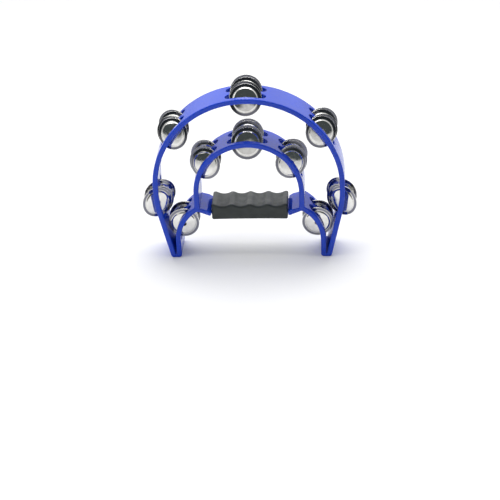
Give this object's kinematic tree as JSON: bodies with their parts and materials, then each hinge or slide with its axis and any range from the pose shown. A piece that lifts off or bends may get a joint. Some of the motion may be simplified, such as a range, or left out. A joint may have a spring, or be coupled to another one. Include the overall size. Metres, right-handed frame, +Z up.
{
  "type": "half-moon tambourine",
  "caption": "Half-moon hand tambourine: a moulded plastic crescent rim with a rubber hand grip and two rows of loose metal jingle pairs on pins.",
  "frame": {"origin": "middle of the footprint, on the surface that the two tips stand on", "axes": "+Z up through the top of the ring, +X across the two tips, Y through the depth of the rim and along every pin; the front edge faces -Y"},
  "size_m": [0.259, 0.044, 0.2242],
  "materials": {
    "rim_plastic": "glossy moulded ABS, royal blue",
    "grip_rubber": "fine matte texture, charcoal",
    "jingle_nickel": "bright nickel plate",
    "pin_steel": "plain drawn wire"
  },
  "bodies": {
    "rim": {"frame": "rim_plastic", "hand_grip": "grip_rubber", "pin_top": "pin_steel", "pin_upper_left": "pin_steel", "pin_upper_right": "pin_steel", "pin_lower_left": "pin_steel", "pin_lower_right": "pin_steel", "pin_arch_top": "pin_steel", "pin_arch_left": "pin_steel", "pin_arch_right": "pin_steel", "pin_leg_left": "pin_steel", "pin_leg_right": "pin_steel"},
    "jingle_top_a1": {"jingle_top_a1": "jingle_nickel"},
    "jingle_top_a2": {"jingle_top_a2": "jingle_nickel"},
    "jingle_top_b1": {"jingle_top_b1": "jingle_nickel"},
    "jingle_top_b2": {"jingle_top_b2": "jingle_nickel"},
    "jingle_upper_left_a1": {"jingle_upper_left_a1": "jingle_nickel"},
    "jingle_upper_left_a2": {"jingle_upper_left_a2": "jingle_nickel"},
    "jingle_upper_left_b1": {"jingle_upper_left_b1": "jingle_nickel"},
    "jingle_upper_left_b2": {"jingle_upper_left_b2": "jingle_nickel"},
    "jingle_upper_right_a1": {"jingle_upper_right_a1": "jingle_nickel"},
    "jingle_upper_right_a2": {"jingle_upper_right_a2": "jingle_nickel"},
    "jingle_upper_right_b1": {"jingle_upper_right_b1": "jingle_nickel"},
    "jingle_upper_right_b2": {"jingle_upper_right_b2": "jingle_nickel"},
    "jingle_lower_left_a1": {"jingle_lower_left_a1": "jingle_nickel"},
    "jingle_lower_left_a2": {"jingle_lower_left_a2": "jingle_nickel"},
    "jingle_lower_left_b1": {"jingle_lower_left_b1": "jingle_nickel"},
    "jingle_lower_left_b2": {"jingle_lower_left_b2": "jingle_nickel"},
    "jingle_lower_right_a1": {"jingle_lower_right_a1": "jingle_nickel"},
    "jingle_lower_right_a2": {"jingle_lower_right_a2": "jingle_nickel"},
    "jingle_lower_right_b1": {"jingle_lower_right_b1": "jingle_nickel"},
    "jingle_lower_right_b2": {"jingle_lower_right_b2": "jingle_nickel"},
    "jingle_arch_top_a1": {"jingle_arch_top_a1": "jingle_nickel"},
    "jingle_arch_top_a2": {"jingle_arch_top_a2": "jingle_nickel"},
    "jingle_arch_top_b1": {"jingle_arch_top_b1": "jingle_nickel"},
    "jingle_arch_top_b2": {"jingle_arch_top_b2": "jingle_nickel"},
    "jingle_arch_left_a1": {"jingle_arch_left_a1": "jingle_nickel"},
    "jingle_arch_left_a2": {"jingle_arch_left_a2": "jingle_nickel"},
    "jingle_arch_left_b1": {"jingle_arch_left_b1": "jingle_nickel"},
    "jingle_arch_left_b2": {"jingle_arch_left_b2": "jingle_nickel"},
    "jingle_arch_right_a1": {"jingle_arch_right_a1": "jingle_nickel"},
    "jingle_arch_right_a2": {"jingle_arch_right_a2": "jingle_nickel"},
    "jingle_arch_right_b1": {"jingle_arch_right_b1": "jingle_nickel"},
    "jingle_arch_right_b2": {"jingle_arch_right_b2": "jingle_nickel"},
    "jingle_leg_left_a1": {"jingle_leg_left_a1": "jingle_nickel"},
    "jingle_leg_left_a2": {"jingle_leg_left_a2": "jingle_nickel"},
    "jingle_leg_left_b1": {"jingle_leg_left_b1": "jingle_nickel"},
    "jingle_leg_left_b2": {"jingle_leg_left_b2": "jingle_nickel"},
    "jingle_leg_right_a1": {"jingle_leg_right_a1": "jingle_nickel"},
    "jingle_leg_right_a2": {"jingle_leg_right_a2": "jingle_nickel"},
    "jingle_leg_right_b1": {"jingle_leg_right_b1": "jingle_nickel"},
    "jingle_leg_right_b2": {"jingle_leg_right_b2": "jingle_nickel"}
  },
  "joints": [
    {"name": "jingle_top_a1_slide", "type": "slide", "parent": "rim", "child": "jingle_top_a1", "axis": [0, -1, 0], "range_m": [-0.00025, 0.00065]},
    {"name": "jingle_top_a2_slide", "type": "slide", "parent": "rim", "child": "jingle_top_a2", "axis": [0, 1, 0], "range_m": [-0.00025, 0.00065]},
    {"name": "jingle_top_b1_slide", "type": "slide", "parent": "rim", "child": "jingle_top_b1", "axis": [0, -1, 0], "range_m": [-0.00025, 0.00095]},
    {"name": "jingle_top_b2_slide", "type": "slide", "parent": "rim", "child": "jingle_top_b2", "axis": [0, 1, 0], "range_m": [-0.00025, 0.00095]},
    {"name": "jingle_upper_left_a1_slide", "type": "slide", "parent": "rim", "child": "jingle_upper_left_a1", "axis": [0, -1, 0], "range_m": [-0.00025, 0.00075]},
    {"name": "jingle_upper_left_a2_slide", "type": "slide", "parent": "rim", "child": "jingle_upper_left_a2", "axis": [0, 1, 0], "range_m": [-0.00025, 0.00075]},
    {"name": "jingle_upper_left_b1_slide", "type": "slide", "parent": "rim", "child": "jingle_upper_left_b1", "axis": [0, -1, 0], "range_m": [-0.00025, 0.0011]},
    {"name": "jingle_upper_left_b2_slide", "type": "slide", "parent": "rim", "child": "jingle_upper_left_b2", "axis": [0, 1, 0], "range_m": [-0.00025, 0.0011]},
    {"name": "jingle_upper_right_a1_slide", "type": "slide", "parent": "rim", "child": "jingle_upper_right_a1", "axis": [0, -1, 0], "range_m": [-0.00025, 0.00075]},
    {"name": "jingle_upper_right_a2_slide", "type": "slide", "parent": "rim", "child": "jingle_upper_right_a2", "axis": [0, 1, 0], "range_m": [-0.00025, 0.00075]},
    {"name": "jingle_upper_right_b1_slide", "type": "slide", "parent": "rim", "child": "jingle_upper_right_b1", "axis": [0, -1, 0], "range_m": [-0.00025, 0.0011]},
    {"name": "jingle_upper_right_b2_slide", "type": "slide", "parent": "rim", "child": "jingle_upper_right_b2", "axis": [0, 1, 0], "range_m": [-0.00025, 0.0011]},
    {"name": "jingle_lower_left_a1_slide", "type": "slide", "parent": "rim", "child": "jingle_lower_left_a1", "axis": [0, -1, 0], "range_m": [-0.00025, 0.00045]},
    {"name": "jingle_lower_left_a2_slide", "type": "slide", "parent": "rim", "child": "jingle_lower_left_a2", "axis": [0, 1, 0], "range_m": [-0.00025, 0.00045]},
    {"name": "jingle_lower_left_b1_slide", "type": "slide", "parent": "rim", "child": "jingle_lower_left_b1", "axis": [0, -1, 0], "range_m": [-0.00025, 0.00095]},
    {"name": "jingle_lower_left_b2_slide", "type": "slide", "parent": "rim", "child": "jingle_lower_left_b2", "axis": [0, 1, 0], "range_m": [-0.00025, 0.00095]},
    {"name": "jingle_lower_right_a1_slide", "type": "slide", "parent": "rim", "child": "jingle_lower_right_a1", "axis": [0, -1, 0], "range_m": [-0.00025, 0.00045]},
    {"name": "jingle_lower_right_a2_slide", "type": "slide", "parent": "rim", "child": "jingle_lower_right_a2", "axis": [0, 1, 0], "range_m": [-0.00025, 0.00045]},
    {"name": "jingle_lower_right_b1_slide", "type": "slide", "parent": "rim", "child": "jingle_lower_right_b1", "axis": [0, -1, 0], "range_m": [-0.00025, 0.00095]},
    {"name": "jingle_lower_right_b2_slide", "type": "slide", "parent": "rim", "child": "jingle_lower_right_b2", "axis": [0, 1, 0], "range_m": [-0.00025, 0.00095]},
    {"name": "jingle_arch_top_a1_slide", "type": "slide", "parent": "rim", "child": "jingle_arch_top_a1", "axis": [0, -1, 0], "range_m": [-0.00025, 0.00085]},
    {"name": "jingle_arch_top_a2_slide", "type": "slide", "parent": "rim", "child": "jingle_arch_top_a2", "axis": [0, 1, 0], "range_m": [-0.00025, 0.00085]},
    {"name": "jingle_arch_top_b1_slide", "type": "slide", "parent": "rim", "child": "jingle_arch_top_b1", "axis": [0, -1, 0], "range_m": [-0.00025, 0.0011]},
    {"name": "jingle_arch_top_b2_slide", "type": "slide", "parent": "rim", "child": "jingle_arch_top_b2", "axis": [0, 1, 0], "range_m": [-0.00025, 0.0011]},
    {"name": "jingle_arch_left_a1_slide", "type": "slide", "parent": "rim", "child": "jingle_arch_left_a1", "axis": [0, -1, 0], "range_m": [-0.00025, 0.001]},
    {"name": "jingle_arch_left_a2_slide", "type": "slide", "parent": "rim", "child": "jingle_arch_left_a2", "axis": [0, 1, 0], "range_m": [-0.00025, 0.001]},
    {"name": "jingle_arch_left_b1_slide", "type": "slide", "parent": "rim", "child": "jingle_arch_left_b1", "axis": [0, -1, 0], "range_m": [-0.00025, 0.0013]},
    {"name": "jingle_arch_left_b2_slide", "type": "slide", "parent": "rim", "child": "jingle_arch_left_b2", "axis": [0, 1, 0], "range_m": [-0.00025, 0.0013]},
    {"name": "jingle_arch_right_a1_slide", "type": "slide", "parent": "rim", "child": "jingle_arch_right_a1", "axis": [0, -1, 0], "range_m": [-0.00025, 0.001]},
    {"name": "jingle_arch_right_a2_slide", "type": "slide", "parent": "rim", "child": "jingle_arch_right_a2", "axis": [0, 1, 0], "range_m": [-0.00025, 0.001]},
    {"name": "jingle_arch_right_b1_slide", "type": "slide", "parent": "rim", "child": "jingle_arch_right_b1", "axis": [0, -1, 0], "range_m": [-0.00025, 0.0013]},
    {"name": "jingle_arch_right_b2_slide", "type": "slide", "parent": "rim", "child": "jingle_arch_right_b2", "axis": [0, 1, 0], "range_m": [-0.00025, 0.0013]},
    {"name": "jingle_leg_left_a1_slide", "type": "slide", "parent": "rim", "child": "jingle_leg_left_a1", "axis": [0, -1, 0], "range_m": [-0.00025, 0.0026]},
    {"name": "jingle_leg_left_a2_slide", "type": "slide", "parent": "rim", "child": "jingle_leg_left_a2", "axis": [0, 1, 0], "range_m": [-0.00025, 0.0026]},
    {"name": "jingle_leg_left_b1_slide", "type": "slide", "parent": "rim", "child": "jingle_leg_left_b1", "axis": [0, -1, 0], "range_m": [-0.00025, 0.0026]},
    {"name": "jingle_leg_left_b2_slide", "type": "slide", "parent": "rim", "child": "jingle_leg_left_b2", "axis": [0, 1, 0], "range_m": [-0.00025, 0.0026]},
    {"name": "jingle_leg_right_a1_slide", "type": "slide", "parent": "rim", "child": "jingle_leg_right_a1", "axis": [0, -1, 0], "range_m": [-0.00025, 0.0026]},
    {"name": "jingle_leg_right_a2_slide", "type": "slide", "parent": "rim", "child": "jingle_leg_right_a2", "axis": [0, 1, 0], "range_m": [-0.00025, 0.0026]},
    {"name": "jingle_leg_right_b1_slide", "type": "slide", "parent": "rim", "child": "jingle_leg_right_b1", "axis": [0, -1, 0], "range_m": [-0.00025, 0.0026]},
    {"name": "jingle_leg_right_b2_slide", "type": "slide", "parent": "rim", "child": "jingle_leg_right_b2", "axis": [0, 1, 0], "range_m": [-0.00025, 0.0026]}
  ]
}
